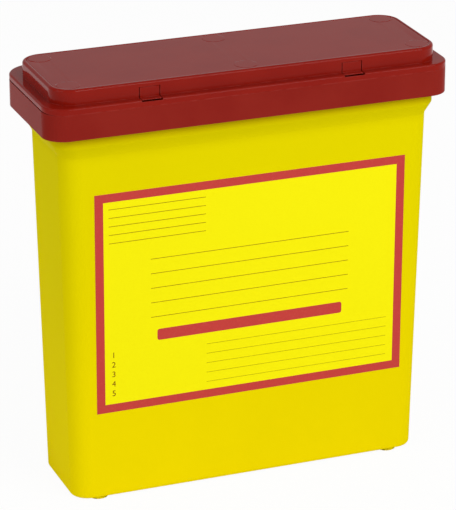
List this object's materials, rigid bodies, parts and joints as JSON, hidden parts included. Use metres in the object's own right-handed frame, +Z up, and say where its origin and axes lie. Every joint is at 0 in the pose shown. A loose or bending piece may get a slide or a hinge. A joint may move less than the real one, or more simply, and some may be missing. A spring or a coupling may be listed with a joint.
{
  "type": "sharps container",
  "caption": "Flat tapered plastic tub with a press-on lid collar, a hinged cover held shut by two latch tongues, and a label on its front.",
  "frame": {"origin": "on the standing surface, under the middle of the container's outline with its hinges", "axes": "+X to the right along the long side, +Y to the back where the cover is hinged, +Z up; the label faces -Y"},
  "size_m": [0.19, 0.0731, 0.1978],
  "materials": {
    "body": "satin yellow polypropylene",
    "lid": "glossy dark red polypropylene",
    "label": "satin printed sheet"
  },
  "bodies": {
    "base": {"container_body": "body", "lid_collar": "lid", "front_label": "label"},
    "cover": {"hinged_cover": "lid"},
    "latch_left": {"latch_left": "lid"},
    "latch_right": {"latch_right": "lid"}
  },
  "joints": [
    {"name": "cover_hinge", "type": "hinge", "parent": "base", "child": "cover", "pos_m": [0, 0.03375, 0.1879], "axis": [-1, 0, 0], "range_deg": [0, 115]},
    {"name": "latch_left_flex", "type": "hinge", "parent": "cover", "child": "latch_left", "pos_m": [-0.0475, -0.0318, 0.1954], "axis": [-1, 0, 0], "range_deg": [0, 8], "stiffness_Nm_per_rad": 0.3},
    {"name": "latch_right_flex", "type": "hinge", "parent": "cover", "child": "latch_right", "pos_m": [0.0475, -0.0318, 0.1954], "axis": [-1, 0, 0], "range_deg": [0, 8], "stiffness_Nm_per_rad": 0.3}
  ]
}
